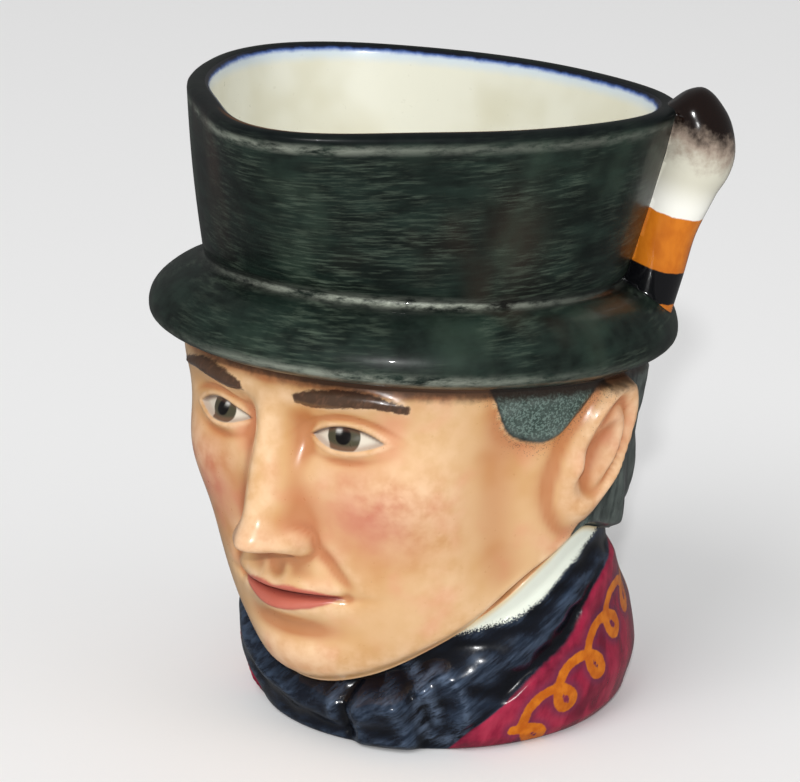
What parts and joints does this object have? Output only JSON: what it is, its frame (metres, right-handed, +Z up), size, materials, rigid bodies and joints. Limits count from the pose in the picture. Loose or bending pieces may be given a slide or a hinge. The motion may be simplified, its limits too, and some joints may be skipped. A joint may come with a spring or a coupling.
{
  "type": "character jug",
  "caption": "Glazed earthenware character jug: a man's head in a tall flared hat that opens as a pouring rim, with neckcloth, coat and a crop-shaped handle.",
  "frame": {"origin": "centre of the round foot's flat underside", "axes": "+Z up through the opening; the face looks along -Y; the figure's own left side is at +X"},
  "size_m": [0.0721, 0.0741, 0.0886],
  "materials": {
    "glaze": "glossy hand-painted glaze over earthenware"
  },
  "bodies": {
    "root": {"character_jug": "glaze"}
  },
  "joints": []
}
